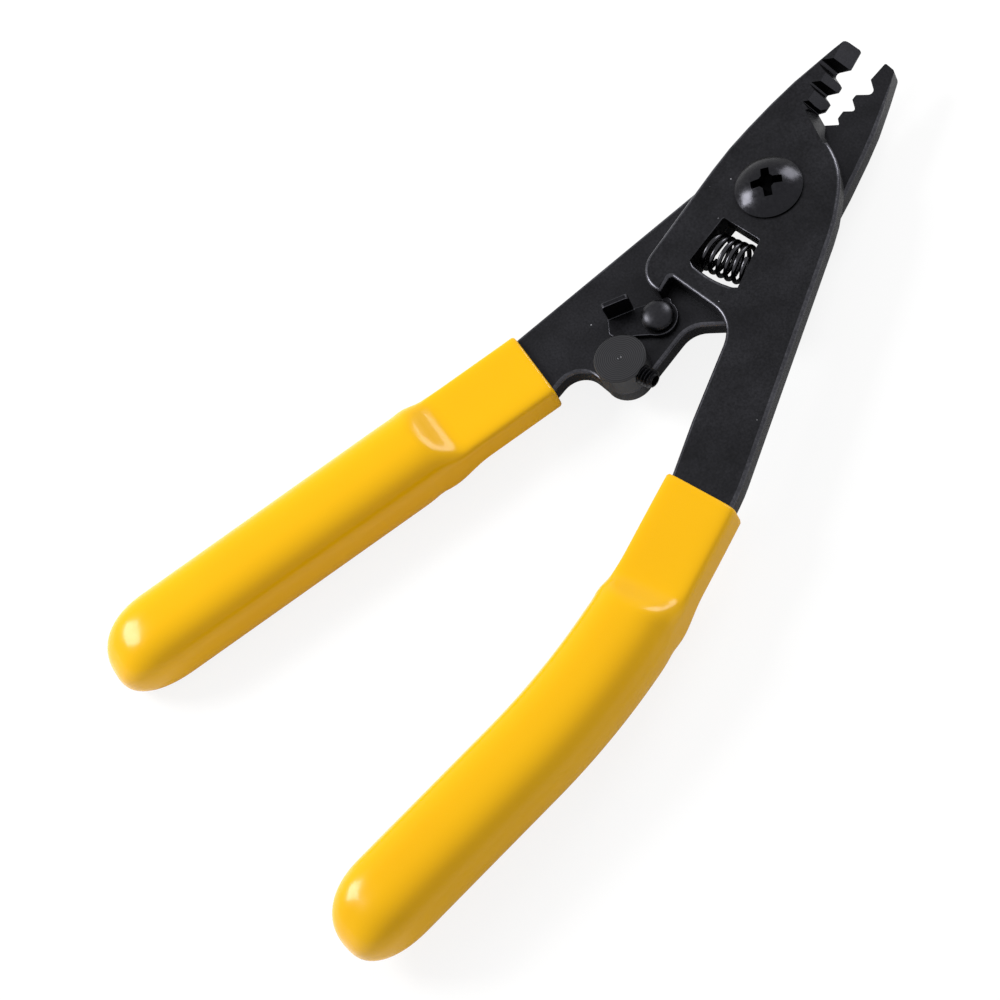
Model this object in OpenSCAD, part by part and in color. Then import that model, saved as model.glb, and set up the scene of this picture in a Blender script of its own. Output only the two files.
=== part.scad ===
// Three-hole fibre stripper: two crossed steel levers on one pivot screw, with stepped
// stripping notches, a coil return spring, a swinging latch, an adjustable stop and grips.
// Axes: +Z up through the pivot, +Y towards the jaws. z = 0 is the outer face of the pivot nut.

/* [Plates] */
// thickness of each lever plate
plate_t = 3; // [2.6:0.1:3.4]
// angle that the levers close through
close_deg = 13.4; // [11:0.1:14]
// distance from the pivot to the jaw tips
jaw_reach = 28.8; // [28:0.1:31]
// vertical land left on every cutting edge
edge_land = 0.3; // [0.2:0.05:0.5]
// how far the ground bevel of the teeth runs back from the edge
bevel_back = 2.4; // [1.6:0.1:2.8]

/* [Stripping notches] */
// diameter of the jacket hole next to the tips
jacket_d = 1.6; // [1.2:0.1:2]
// diameter of the buffer hole in the middle
buffer_d = 0.9; // [0.6:0.1:1.2]
// diameter of the coating hole next to the pivot
coating_d = 0.25; // [0.2:0.05:0.4]
// distance from the pivot to the jacket hole
jacket_at = 23.5; // [23.2:0.1:23.8]
// distance from the pivot to the buffer hole
buffer_at = 19.4; // [19.2:0.1:19.6]
// distance from the pivot to the coating hole
coating_at = 15.95; // [15.9:0.05:16.1]
// opening angle of the notch flanks
flank_deg = 70; // [60:2:80]

/* [Pivot] */
// shank diameter of the pivot screw
pivot_d = 6; // [5:0.2:7]
// head diameter of the pivot screw
head_d = 11.3; // [10:0.1:12.5]
// height of the domed head
head_h = 2.3; // [1.8:0.1:2.8]
// span of the cross recess
recess_span = 5.2; // [4:0.2:6]
// width of the recess arms
recess_w = 1.1; // [0.8:0.1:1.4]
// angle of the cross recess
recess_deg = 43; // [0:1:89]
// washer thickness under the nut
washer_t = 0.8; // [0.5:0.1:1.2]
// washer diameter
washer_d = 12; // [11:0.5:13]
// nut height
nut_h = 3.9; // [3:0.1:5]
// nut width across flats
nut_af = 10; // [9:0.5:11]
// radial gap where a piece turns on a shank
run_gap = 0.05; // [0.02:0.01:0.1]
// radial gap where a piece is fixed on a shank
fix_gap = 0.02; // [0.01:0.01:0.05]

/* [Return spring] */
// outer diameter of the spring
spring_od = 6.9; // [6:0.1:7.4]
// wire diameter
wire_d = 0.8; // [0.6:0.05:1]
// number of coils
coils = 5; // [4:1:6]
// distance from the pivot to the spring's axis
spring_at = 12.7; // [12.4:0.1:13]

/* [Stop] */
// diameter of the stop boss
boss_d = 8.6; // [7.6:0.1:9]
// height of the stop boss
boss_h = 4; // [3.8:0.1:4.6]
// diameter of the boss's riveted spigot
spigot_d = 4; // [3:0.5:5]
// diameter of the set screw
set_d = 3.2; // [2.6:0.1:3.4]
// length of the set screw
set_len = 6.6; // [5:0.2:7]
// thread pitch of the set screw
set_pitch = 0.6; // [0.5:0.1:0.8]
// gap left between the set screw and the arm with the jaws closed
stop_gap = 0.06; // [0.04:0.01:0.2]

/* [Latch] */
// thickness of the latch plate
latch_t = 1; // [0.8:0.1:1.2]
// radius of the latch's round eye
eye_r = 3.2; // [3:0.1:3.3]
// height of the thumb tab above the latch plate
tab_h = 3.9; // [3:0.1:4.5]
// thickness of the thumb tab
tab_t = 0.9; // [0.7:0.1:1.1]
// shank diameter of the latch rivet
rivet_d = 3; // [2.5:0.1:3.4]
// head diameter of the latch rivet
rivet_head_d = 5.5; // [4.8:0.1:6]
// height of the rivet's domed head
rivet_head_h = 1.7; // [1.2:0.1:2.2]
// spring washer thickness under the rivet head
curl_t = 0.35; // [0.25:0.05:0.5]
// spring washer diameter
curl_d = 4.7; // [4.4:0.1:5]
// height of the rivet's upset tail
tail_h = 0.9; // [0.5:0.1:1.2]

/* [Grips] */
// width of the grips at the hand
grip_w = 14.6; // [13.6:0.2:16]
// thickness of the grips at the hand
grip_t = 12.4; // [10.5:0.2:13]
// thickness of the flat collar where a grip starts
collar_t = 5.8; // [5.2:0.2:7]
// width of the flat collar
collar_w = 13.4; // [13:0.2:14.2]
// length of the flat collar
collar_len = 17; // [14:1:20]
// length of the shoulder between collar and hand part
shoulder_len = 6; // [4:0.5:8]
// length of the right grip along its middle
grip_len_right = 89.5; // [86:0.5:94]
// length of the left grip along its middle
grip_len_left = 83; // [80:0.5:88]

/* [Show] */
// the piece to show

/* [Hidden] */
$fn = 64;
eps = 0.01;
black_oxide = [0.13, 0.13, 0.14];
dark_steel = [0.2, 0.2, 0.21];
turned_steel = [0.3, 0.3, 0.31];
yellow_vinyl = [1, 0.83, 0];

// heights
mate_z = plate_t + washer_t + nut_h;
top_z = mate_z + plate_t;
back_z = mate_z - plate_t;

// the notches of both jaws meet on one line when the jaws are closed
part_deg = 90 - close_deg / 2;

// inner edge of the front arm: a line at this distance from the pivot, at this angle
arm_edge_off = 2.91;
arm_edge_deg = 14;

// places on the rear lever
boss_x = -3.3;
boss_y = -36.85;
rivet_x = -3.5;
rivet_y = -27.05;
set_z = mate_z + 2.1;
lobe_r = boss_d / 2 - 0.2;

// the spring window: its side walls fan out from one centre, and the spring bends with them
fan_c = [-1.9, 20.2];
fan_a0 = -93.2;
fan_a1 = -78.2;
fan_r = 20.2 + spring_at;
window_c = [1.6, -0.6];
window_r = 17.2;

// middle line of each grip: start, heading, length before the bend, bend length, bend angle
right_line = [[21.85, -49.4], -82, 13, 38, 18.2];
left_line = [[-16.9, -43.4], -111.5, 13, 38, 0];
right_skew = 8;

function polar(r, a) = [r * cos(a), r * sin(a)];
function unit(v) = v / norm(v);
function edge_x(y) = (arm_edge_off - y * sin(arm_edge_deg)) / cos(arm_edge_deg);

// corner list [x, y, radius] to an outline with true tangent arcs
function corner(p, q, s) =
  let (
    a = [q[0], q[1]],
    u = unit([p[0], p[1]] - a),
    v = unit([s[0], s[1]] - a),
    half = acos(max(-1, min(1, u * v))) / 2,
    turn = 180 - 2 * half
  )
  (q[2] == 0 || turn < 0.5) ? [a] :
  let (
    c = a + unit(u + v) * q[2] / sin(half),
    d = q[2] / tan(half),
    b0 = a + u * d - c,
    b1 = a + v * d - c,
    t0 = atan2(b0[1], b0[0]),
    raw = atan2(b1[1], b1[0]) - t0,
    sweep = raw > 180 ? raw - 360 : raw < -180 ? raw + 360 : raw,
    n = max(2, ceil(abs(sweep) / 9))
  )
  [for (i = [0 : n]) c + polar(q[2], t0 + sweep * i / n)];
function rounded(pts) =
  let (n = len(pts))
  [for (i = [0 : n - 1]) each corner(pts[(i + n - 1) % n], pts[i], pts[(i + 1) % n])];

// cutting edge of one jaw, from the tip to the long edge below the last notch; the other
// jaw has its mirror image
function jaw_edge() = [
  [-2.35, jaw_reach, 0.3],
  [-1.95, 25.3, 0],
  [-1.35, 21.35, 0],
  [-1.2, 17.2, 0],
  [-1.22, 16.7, 0.3],
  [polar(coating_at, 180 - part_deg)[0] - 0.2, polar(coating_at, 180 - part_deg)[1], coating_d / 2],
  [0.5, 14.35, 0.4]
];
function mirrored(pts) = [for (p = pts) [-p[0], p[1], p[2]]];

front_outline = rounded(concat(jaw_edge(), [
  [2.2, 12.2, 1],
  [8.6, 8.6, 14],
  [13.1, 0.3, 30],
  [26.9, -46, 30],
  [28.1, -53, 30],
  [30.3, -80, 100],
  [24.6, -119, 4.6],
  [15, -117.4, 4.6],
  [20.3, -80, 100],
  [18.2, -58, 20],
  [edge_x(-40), -40, 20],
  [edge_x(-22.4), -22.4, 6.5],
  [-5.2, -20.6, 0.4],
  [-5, -23.8, 0.45],
  [-10.5, -23.9, 4.9],
  [-10.4, 3, 60],
  [-8, 18.2, 60],
  [-4.5, jaw_reach - 0.5, 0.8]
]));

rear_outline = rounded(concat(mirrored(jaw_edge()), [
  [-2.2, 12.2, 1],
  [-8.2, 7.8, 10],
  [-10.1, 1.2, 12],
  [-22.6, -41, 12],
  [-23.9, -47.5, 12],
  [-45.4, -102.3, 4.6],
  [-36.3, -106, 4.6],
  [-14.6, -50.8, 9],
  [-11.7, -46.4, 5],
  [-11.2, -39.6, 3.8],
  [boss_x - 0.5, boss_y - lobe_r + 0.1, 0],
  [boss_x + lobe_r, boss_y + 0.4, 0],
  [1.3, -25.6, 4.5],
  [9.2, -21, 3],
  [10.9, -4, 20],
  [10.8, 3, 40],
  [8.1, 17.8, 60],
  [4.5, jaw_reach - 0.5, 0.8]
]));

// a notch: a round root with straight flanks that open towards the other jaw
module notch(d, at) {
  half = flank_deg / 2;
  r = d / 2;
  reach = 6;
  translate([at, 0]) {
    circle(r = r);
    polygon([
      [r * cos(half), -r * sin(half)],
      [r * cos(half) + reach * sin(half), reach * cos(half) - r * sin(half)],
      [-r * cos(half) - reach * sin(half), reach * cos(half) - r * sin(half)],
      [-r * cos(half), -r * sin(half)]
    ]);
  }
}

// a ground bevel along the edge from p to q; the plate lies to the right of that direction
module bevel(p, q, back) {
  run = norm(q - p);
  slope = back / (plate_t - edge_land);
  translate([p[0], p[1], 0])
    rotate([0, 0, atan2(q[1] - p[1], q[0] - p[0])])
      rotate([90, 0, 90])
        linear_extrude(run)
          polygon([
            [0, edge_land],
            [-slope * (plate_t + 1 - edge_land), plate_t + 1],
            [5, plate_t + 1],
            [5, edge_land]
          ]);
}

// a ground gullet behind a notch, leaning back from the cutting edge
module gullet(d, at) {
  lean = atan(bevel_back / plate_t);
  translate([0, 0, edge_land])
    rotate([lean, 0, 0])
      translate([0, 0, -3])
        linear_extrude(9)
          notch(d, at);
}

// everything ground out of the front jaw; z runs from the mating face outwards
module jaw_cuts() {
  rotate([0, 0, 180 - part_deg])
    mirror([0, 1, 0]) {
      translate([0, 0, -1])
        linear_extrude(plate_t + 2) {
          notch(jacket_d, jacket_at);
          notch(buffer_d, buffer_at);
        }
      gullet(jacket_d, jacket_at);
      gullet(buffer_d, buffer_at);
      gullet(coating_d, coating_at);
    }
  bevel([-2.5, 29.8], [-1.8, jacket_at + 0.6], bevel_back);
  bevel([-1.6, jacket_at - 0.5], [-1.28, buffer_at + 0.4], bevel_back);
  bevel([-1.25, buffer_at - 0.5], [-1.2, coating_at + 0.3], bevel_back);
  bevel([-2.05, 15.85], [4, 12.22], 1.65);
}

// window for the return spring; lift raises its upper edge
module window(lift) {
  intersection() {
    translate(window_c) circle(r = window_r);
    polygon(rounded([
      concat(fan_c + polar(28.15 - lift, fan_a0), 0.4),
      concat(fan_c + polar(40, fan_a0), 0),
      concat(fan_c + polar(40, fan_a1), 0),
      concat(fan_c + polar(29.35 - lift, fan_a1), 0.4)
    ]));
  }
}

module front_lever() {
  color(black_oxide)
    translate([0, 0, mate_z])
      difference() {
        linear_extrude(plate_t)
          difference() {
            polygon(front_outline);
            circle(d = pivot_d + 2 * run_gap);
            window(0);
          }
        jaw_cuts();
      }
}

module rear_lever() {
  color(black_oxide)
    difference() {
      translate([0, 0, back_z])
        linear_extrude(plate_t)
          difference() {
            union() {
              polygon(rear_outline);
              translate([boss_x, boss_y]) circle(r = lobe_r);
            }
            circle(d = pivot_d + 2 * fix_gap);
            translate([boss_x, boss_y]) circle(d = spigot_d + 2 * fix_gap);
            translate([rivet_x, rivet_y]) circle(d = rivet_d + 2 * fix_gap);
            window(1.1);
          }
      translate([0, 0, mate_z])
        rotate([0, 180, 0])
          jaw_cuts();
    }
}

// a low dome: base diameter d, height h, standing on z = 0
module dome(d, h) {
  r = (d * d / 4 + h * h) / (2 * h);
  intersection() {
    translate([0, 0, h - r]) sphere(r = r, $fn = 96);
    cylinder(d = d, h = h);
  }
}

module pivot_screw() {
  color(dark_steel)
    difference() {
      union() {
        translate([0, 0, top_z]) dome(head_d, head_h);
        translate([0, 0, 0.4]) cylinder(d = pivot_d, h = top_z - 0.4);
      }
      translate([0, 0, top_z + head_h - 1.9])
        rotate([0, 0, recess_deg]) {
          for (a = [0, 90])
            rotate([0, 0, a])
              translate([-recess_span / 2, -recess_w / 2, 0])
                cube([recess_span, recess_w, 3]);
          cylinder(d1 = 1.4, d2 = 2.6, h = 2);
        }
    }
}

module pivot_washer() {
  color(dark_steel)
    translate([0, 0, nut_h])
      difference() {
        cylinder(d = washer_d, h = washer_t);
        translate([0, 0, -1]) cylinder(d = pivot_d + 0.3, h = washer_t + 2);
      }
}

module pivot_nut() {
  color(dark_steel)
    difference() {
      intersection() {
        cylinder(r = nut_af / 2 / cos(30), h = nut_h, $fn = 6);
        rotate_extrude()
          polygon([
            [0, 0],
            [nut_af / 2 - 0.1, 0],
            [nut_af / 2 / cos(30) + 0.1, 0.75],
            [nut_af / 2 / cos(30) + 0.1, nut_h],
            [0, nut_h]
          ]);
      }
      translate([0, 0, -1]) cylinder(d = pivot_d + 2 * fix_gap, h = nut_h + 2);
    }
}

// one ring of the spring's wire at turn t (0 to 1)
function coil_at(t, a0, a1) =
  let (
    a = a0 + (a1 - a0) * t,
    b = 90 + 360 * coils * t,
    m = (spring_od - wire_d) / 2
  )
  [for (k = [0 : 2]) k == 2 ? mate_z + m * sin(b) : fan_c[k] + (fan_r + m * cos(b)) * polar(1, a)[k]];
function wire_ring(t, a0, a1) =
  let (
    a = a0 + (a1 - a0) * t,
    b = 90 + 360 * coils * t,
    n = [cos(b) * cos(a), cos(b) * sin(a), sin(b)],
    w = unit(coil_at(t + 0.001, a0, a1) - coil_at(t - 0.001, a0, a1)),
    s = cross(w, n),
    c = coil_at(t, a0, a1)
  )
  [for (k = [0 : 7]) c + wire_d / 2 * (cos(45 * k) * n + sin(45 * k) * s)];

module return_spring() {
  inner_r = fan_r - spring_od / 2;
  edge = (wire_d / 2 + 0.12) / inner_r * 180 / PI;
  a0 = fan_a0 + edge;
  a1 = fan_a1 - edge;
  steps = coils * 20;
  rings = [for (i = [0 : steps]) each wire_ring(i / steps, a0, a1)];
  color(dark_steel)
    polyhedron(
      points = rings,
      faces = concat(
        [[for (k = [0 : 7]) k]],
        [for (i = [0 : steps - 1], k = [0 : 7])
          [i * 8 + k, (i + 1) * 8 + k, (i + 1) * 8 + (k + 1) % 8, i * 8 + (k + 1) % 8]],
        [[for (k = [7 : -1 : 0]) steps * 8 + k]]
      )
    );
}

// where the set screw must end so that the arm meets it with the jaws closed
stop_tip_x = (arm_edge_off - boss_y * sin(arm_edge_deg - close_deg)) / cos(arm_edge_deg - close_deg)
  - stop_gap;

module stop_boss() {
  color(turned_steel)
    difference() {
      translate([boss_x, boss_y, 0]) {
        translate([0, 0, mate_z])
          rotate_extrude()
            polygon([
              [0, 0],
              [boss_d / 2, 0],
              [boss_d / 2, boss_h - 0.25],
              [boss_d / 2 - 0.25, boss_h],
              [0.35, boss_h],
              [0, boss_h - 0.2]
            ]);
        translate([0, 0, back_z - 0.7]) cylinder(d = spigot_d, h = plate_t + 0.7 + eps);
        translate([0, 0, back_z - 0.7]) cylinder(d = spigot_d + 1.4, h = 0.7);
      }
      translate([boss_x + boss_d / 2, boss_y, set_z])
        rotate([0, 90, 0]) {
          translate([0, 0, -boss_d]) cylinder(d = set_d + 2 * fix_gap, h = boss_d + 1);
          translate([0, 0, -0.5]) cylinder(d1 = set_d - 0.3, d2 = set_d + 1.3, h = 0.8);
        }
    }
}

module stop_set_screw() {
  turns = floor((set_len - 1.2) / set_pitch);
  root = set_d / 2 - 0.3;
  color(dark_steel)
    translate([stop_tip_x, boss_y, set_z])
      rotate([0, -90, 0])
        difference() {
          rotate_extrude()
            polygon(concat(
              [[0, 0], [root - 0.1, 0], [root, 0.5]],
              [for (i = [0 : turns - 1]) each [
                [set_d / 2, 0.5 + set_pitch * (i + 0.4)],
                [set_d / 2, 0.5 + set_pitch * (i + 0.6)],
                [root, 0.5 + set_pitch * (i + 1)]
              ]],
              [[root, set_len], [0, set_len]]
            ));
          translate([0, 0, -1]) cylinder(d = 1.7, h = 2.4, $fn = 6);
        }
}

module latch() {
  tab_from = [-10.6, -31.3];
  tab_to = [-7.95, -27.75];
  color(black_oxide)
    translate([0, 0, mate_z]) {
      linear_extrude(latch_t)
        difference() {
          union() {
            translate([rivet_x, rivet_y]) circle(r = eye_r);
            translate([rivet_x, rivet_y]) translate(polar(2.85, 101)) circle(r = 0.9);
            polygon(rounded([
              [rivet_x - 2, rivet_y + 2.2, 0],
              [rivet_x + 1.6, rivet_y - 2.6, 0],
              [-4.6, -31.3, 2],
              [-7.4, -33.4, 2],
              [-9, -33.3, 0.7],
              [-10.9, -31.1, 0.6],
              [-8, -27.5, 0.5]
            ]));
          }
          translate([rivet_x, rivet_y]) circle(d = rivet_d + 2 * run_gap);
        }
      translate([tab_from[0], tab_from[1], 0])
        rotate([90, 0, atan2(tab_to[1] - tab_from[1], tab_to[0] - tab_from[0])])
          translate([0, 0, -tab_t])
            linear_extrude(tab_t)
              polygon(rounded([
                [0, 0.2, 0],
                [norm(tab_to - tab_from), 0.2, 0],
                [norm(tab_to - tab_from) + 0.1, latch_t + tab_h, 0.6],
                [-0.1, latch_t + tab_h, 0.6]
              ]));
    }
}

module latch_spring_washer() {
  color(dark_steel)
    translate([rivet_x, rivet_y, mate_z + latch_t])
      difference() {
        cylinder(d = curl_d, h = curl_t);
        translate([0, 0, -1]) cylinder(d = rivet_d + 0.2, h = curl_t + 2);
      }
}

module latch_rivet() {
  head_z = mate_z + latch_t + curl_t;
  color(dark_steel)
    translate([rivet_x, rivet_y, 0]) {
      translate([0, 0, head_z]) dome(rivet_head_d, rivet_head_h);
      translate([0, 0, back_z - tail_h]) cylinder(d = rivet_d, h = head_z - back_z + tail_h + eps);
      translate([0, 0, back_z - tail_h]) cylinder(d1 = rivet_d + 0.6, d2 = rivet_d + 1.6, h = tail_h);
    }
}

// a point and a heading on a grip's middle line
function line_at(l, s) =
  let (
    s1 = min(s, l[2]),
    s2 = max(0, min(s - l[2], l[3])),
    s3 = max(0, s - l[2] - l[3]),
    turn = l[4] * s2 / l[3],
    chord = turn == 0 ? s2 : s2 * sin(turn / 2) / (turn / 2 * PI / 180)
  )
  l[0] + polar(s1, l[1]) + polar(chord, l[1] - turn / 2) + polar(s3, l[1] - turn);
function heading_at(l, s, skew) =
  l[1] - l[4] * max(0, min(s - l[2], l[3])) / l[3] - skew * max(0, 1 - s / 10);

function smooth(t) = t * t * (3 - 2 * t);
function blend(a, b, t) = a + (b - a) * smooth(max(0, min(1, t)));

// stations along a grip of length g: collar, shoulder, hand part, round end
function stations(g) = concat(
  [0, 0.5, collar_len / 2, collar_len],
  [for (i = [1 : 5]) collar_len + shoulder_len * i / 5],
  [for (i = [1 : 9]) collar_len + shoulder_len + (g - 8 - collar_len - shoulder_len) * i / 9],
  [for (a = [25, 45, 62, 75, 84]) g - 8 + 8 * sin(a)]
);
function full_at(s, g) = s <= g - 8 ? 1 : sqrt(max(0, 1 - pow((s - g + 8) / 8, 2)));
function ring_at(l, g, s, skew, zc) =
  let (
    t = (s - collar_len) / shoulder_len,
    lip = s == 0 ? 0.35 : 0,
    f = full_at(s, g),
    w = (blend(collar_w, grip_w, t) / 2 - lip) * (0.12 + 0.88 * f),
    h = (blend(collar_t, grip_t, t) / 2 - lip) * (0.12 + 0.88 * f),
    e = blend(7, 2.7, t),
    c = line_at(l, s),
    a = heading_at(l, s, skew) + 90
  )
  [for (k = [0 : 31])
    let (
      q = 360 * (k + 0.5) / 32,
      x = w * sign(cos(q)) * pow(abs(cos(q)), 2 / e),
      z = h * sign(sin(q)) * pow(abs(sin(q)), 2 / e)
    )
    [c[0] + x * cos(a), c[1] + x * sin(a), zc + z]];

module grip_form(l, g, skew, zc) {
  st = stations(g);
  n = len(st);
  polyhedron(
    points = [for (s = st) each ring_at(l, g, s, skew, zc)],
    faces = concat(
      [[for (k = [0 : 31]) k]],
      [for (i = [0 : n - 2], k = [0 : 31]) each [
        [i * 32 + k, (i + 1) * 32 + k, (i + 1) * 32 + (k + 1) % 32],
        [i * 32 + k, (i + 1) * 32 + (k + 1) % 32, i * 32 + (k + 1) % 32]
      ]],
      [[for (k = [31 : -1 : 0]) (n - 1) * 32 + k]]
    )
  );
}

module right_grip() {
  color(yellow_vinyl)
    difference() {
      grip_form(right_line, grip_len_right, right_skew, mate_z + plate_t / 2);
      translate([0, 0, mate_z])
        linear_extrude(plate_t)
          polygon(front_outline);
    }
}

module left_grip() {
  color(yellow_vinyl)
    difference() {
      grip_form(left_line, grip_len_left, 0, back_z + plate_t / 2);
      translate([0, 0, back_z])
        linear_extrude(plate_t)
          polygon(rear_outline);
    }
}

front_lever();
rear_lever();
pivot_screw();
pivot_washer();
pivot_nut();
return_spring();
stop_boss();
stop_set_screw();
latch();
latch_rivet();
latch_spring_washer();
right_grip();
left_grip();
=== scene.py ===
"""Dresses the frame of a three-hole fibre stripper: levers, pivot, spring, stop, latch, grips."""

import logging
import math
from collections.abc import Callable, Sequence
from dataclasses import dataclass
from enum import Enum, IntEnum

import bmesh
import bpy
from mathutils import Matrix, Vector


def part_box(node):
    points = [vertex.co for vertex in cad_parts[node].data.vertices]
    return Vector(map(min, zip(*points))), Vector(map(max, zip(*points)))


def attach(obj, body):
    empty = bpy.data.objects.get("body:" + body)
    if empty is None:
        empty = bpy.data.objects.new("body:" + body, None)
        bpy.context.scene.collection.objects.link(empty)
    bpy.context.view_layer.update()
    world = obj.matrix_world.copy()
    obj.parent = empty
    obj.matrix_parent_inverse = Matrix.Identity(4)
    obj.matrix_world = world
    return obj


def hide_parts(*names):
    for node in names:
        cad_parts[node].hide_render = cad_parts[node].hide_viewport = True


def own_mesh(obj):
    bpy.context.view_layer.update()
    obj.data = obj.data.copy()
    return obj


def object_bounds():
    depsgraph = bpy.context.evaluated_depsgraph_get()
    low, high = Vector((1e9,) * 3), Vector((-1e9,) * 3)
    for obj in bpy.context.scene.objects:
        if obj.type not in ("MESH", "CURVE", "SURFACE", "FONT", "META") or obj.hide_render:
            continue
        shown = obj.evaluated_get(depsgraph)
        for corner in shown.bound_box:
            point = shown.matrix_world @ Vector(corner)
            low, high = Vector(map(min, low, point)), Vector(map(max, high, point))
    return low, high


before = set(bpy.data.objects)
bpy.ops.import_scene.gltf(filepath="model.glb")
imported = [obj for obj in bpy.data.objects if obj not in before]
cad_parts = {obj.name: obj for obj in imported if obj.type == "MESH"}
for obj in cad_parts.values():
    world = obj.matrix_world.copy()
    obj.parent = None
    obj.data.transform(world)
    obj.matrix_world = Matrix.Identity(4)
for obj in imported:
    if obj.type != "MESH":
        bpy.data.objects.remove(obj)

CAD_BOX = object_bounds()
MM = 0.001
log = logging.getLogger("fibre_stripper")

Socket = bpy.types.NodeSocket
Point2 = tuple[float, float]


class Body(Enum):
    """The rigid bodies that a piece can ride on."""

    REAR = "rear_half"
    FRONT = "front_half"
    LATCH = "latch_plate"


class Slot(Enum):
    """The record's material slots."""

    OXIDE = "black_oxide_steel"
    SCREW = "black_screw_steel"
    TURNED = "turned_steel"
    WIRE = "spring_wire"
    VINYL = "yellow_vinyl"


class Skin(IntEnum):
    """Order of the finishes on a lever."""

    STAMPED = 0
    GROUND = 1
    # rubbed edges: wear plus a painted highlight in a lighter colour
    WEAR_AND_SHEEN = 2
    # painted shade: near black, on the gullet walls and in the screw recess
    PAINTED_SHADE = 3


# ---------------------------------------------------------------- small helpers


def linear(code: str) -> tuple[float, float, float, float]:
    """Turns an sRGB hex colour into a linear one.

    Args:
        code: six hex digits, such as "F5BF00".

    Returns:
        Linear red, green and blue with an alpha of 1.
    """
    parts = [int(code[i : i + 2], 16) / 255 for i in (0, 2, 4)]
    r, g, b = (c / 12.92 if c <= 0.04045 else ((c + 0.055) / 1.055) ** 2.4 for c in parts)
    return r, g, b, 1.0


def per_mm(size_mm: float) -> float:
    """Texture scale of a pattern whose features are size_mm apart."""
    return 1 / (size_mm * MM)


def add(
    tree: bpy.types.NodeTree, kind: str, inputs: dict | None = None, **settings: object
) -> bpy.types.Node:
    """Adds a shader node with its settings and links.

    Args:
        tree: node tree of the material.
        kind: Blender's name of the node type.
        inputs: input name or index to a value, or to the socket that feeds it.
        **settings: attributes of the node.

    Returns:
        The new node.
    """
    node = tree.nodes.new(kind)
    for key, value in settings.items():
        setattr(node, key, value)
    for key, value in (inputs or {}).items():
        if isinstance(value, Socket):
            tree.links.new(value, node.inputs[key])
        else:
            node.inputs[key].default_value = value
    return node


def principled(name: str) -> tuple[bpy.types.Material, bpy.types.NodeTree, bpy.types.Node, Socket]:
    """Starts a material.

    Args:
        name: name of the material.

    Returns:
        The material, its node tree, its shader, and the place in the frame that patterns use.
    """
    mat = bpy.data.materials.new(name)
    mat.use_nodes = True
    tree = mat.node_tree
    where = add(tree, "ShaderNodeTexCoord").outputs["Object"]
    return mat, tree, tree.nodes["Principled BSDF"], where


def place(bm: bmesh.types.BMesh, name: str, smooth_deg: float = 32) -> bpy.types.Object:
    """Makes an object of a finished mesh, smooth inside its creases.

    Args:
        bm: the mesh, in metres in the frame; it is freed.
        name: name of the object.
        smooth_deg: edges that turn more than this stay sharp.

    Returns:
        The new object, at the origin.
    """
    bmesh.ops.recalc_face_normals(bm, faces=bm.faces)
    for face in bm.faces:
        face.smooth = True
    for edge in bm.edges:
        edge.smooth = len(edge.link_faces) == 2 and edge.calc_face_angle(0) < math.radians(smooth_deg)
    mesh = bpy.data.meshes.new(name)
    bm.to_mesh(mesh)
    bm.free()
    piece = bpy.data.objects.new(name, mesh)
    bpy.context.scene.collection.objects.link(piece)
    shade = piece.modifiers.new("even_faces", "WEIGHTED_NORMAL")
    shade.keep_sharp = True
    shade.weight = 100
    return piece


def revolve(profile: Sequence[Point2], sides: int, at: Matrix) -> bmesh.types.BMesh:
    """Turns a profile about the Z axis.

    Args:
        profile: (radius, height) points in millimetres, from one end to the other.
        sides: steps round the axis.
        at: where the turned form goes, in millimetres.

    Returns:
        The closed mesh, in metres.
    """
    bm = bmesh.new()
    rings = []
    for r, z in profile:
        if r < 1e-6:
            rings.append([bm.verts.new(at @ Vector((0, 0, z)) * MM)])
            continue
        turn = [math.tau * k / sides for k in range(sides)]
        spots = [Vector((r * math.cos(a), r * math.sin(a), z)) for a in turn]
        rings.append([bm.verts.new(at @ spot * MM) for spot in spots])
    join(bm, rings)
    return bm


def join(bm: bmesh.types.BMesh, rings: Sequence[Sequence[bmesh.types.BMVert]]) -> None:
    """Skins closed rings one to the next, and closes an open end.

    Args:
        bm: the mesh that holds the rings.
        rings: equal rings, or single points for a pole.
    """
    for low, high in zip(rings, rings[1:]):
        n = max(len(low), len(high))
        for k in range(n):
            j = (k + 1) % n
            if len(low) == 1:
                bm.faces.new((low[0], high[j], high[k]))
            elif len(high) == 1:
                bm.faces.new((low[k], low[j], high[0]))
            else:
                bm.faces.new((low[k], low[j], high[j], high[k]))
    for end in (rings[0], rings[-1]):
        if len(end) > 2:
            bm.faces.new(end)


def frame_mesh(node: str) -> bmesh.types.BMesh:
    """A copy of a node's mesh with its flat faces whole again.

    Args:
        node: name of the node.

    Returns:
        The welded mesh, in metres.
    """
    bm = bmesh.new()
    bm.from_mesh(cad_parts[node].data)
    bmesh.ops.remove_doubles(bm, verts=bm.verts, dist=2e-6)
    bmesh.ops.dissolve_limit(bm, angle_limit=math.radians(0.5), verts=bm.verts, edges=bm.edges)
    return bm


def round_edges(
    bm: bmesh.types.BMesh, pick: Callable[[Vector], bool], width: float, segments: int, finish: int = -1
) -> None:
    """Rounds the sharp edges whose middle the rule picks.

    Args:
        bm: the mesh, in metres.
        pick: takes an edge's middle in millimetres.
        width: radius in millimetres.
        segments: steps across the rounding.
        finish: material slot of the rounding, or -1 for that of the faces beside it.
    """
    edges = []
    for edge in bm.edges:
        middle = (edge.verts[0].co + edge.verts[1].co) / 2 / MM
        if len(edge.link_faces) == 2 and edge.calc_face_angle(0) > math.radians(40) and pick(middle):
            edges.append(edge)
    bmesh.ops.bevel(
        bm,
        geom=edges,
        offset=width * MM,
        offset_type="OFFSET",
        segments=segments,
        profile=0.5,
        affect="EDGES",
        clamp_overlap=False,
        material=finish,
    )


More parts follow.
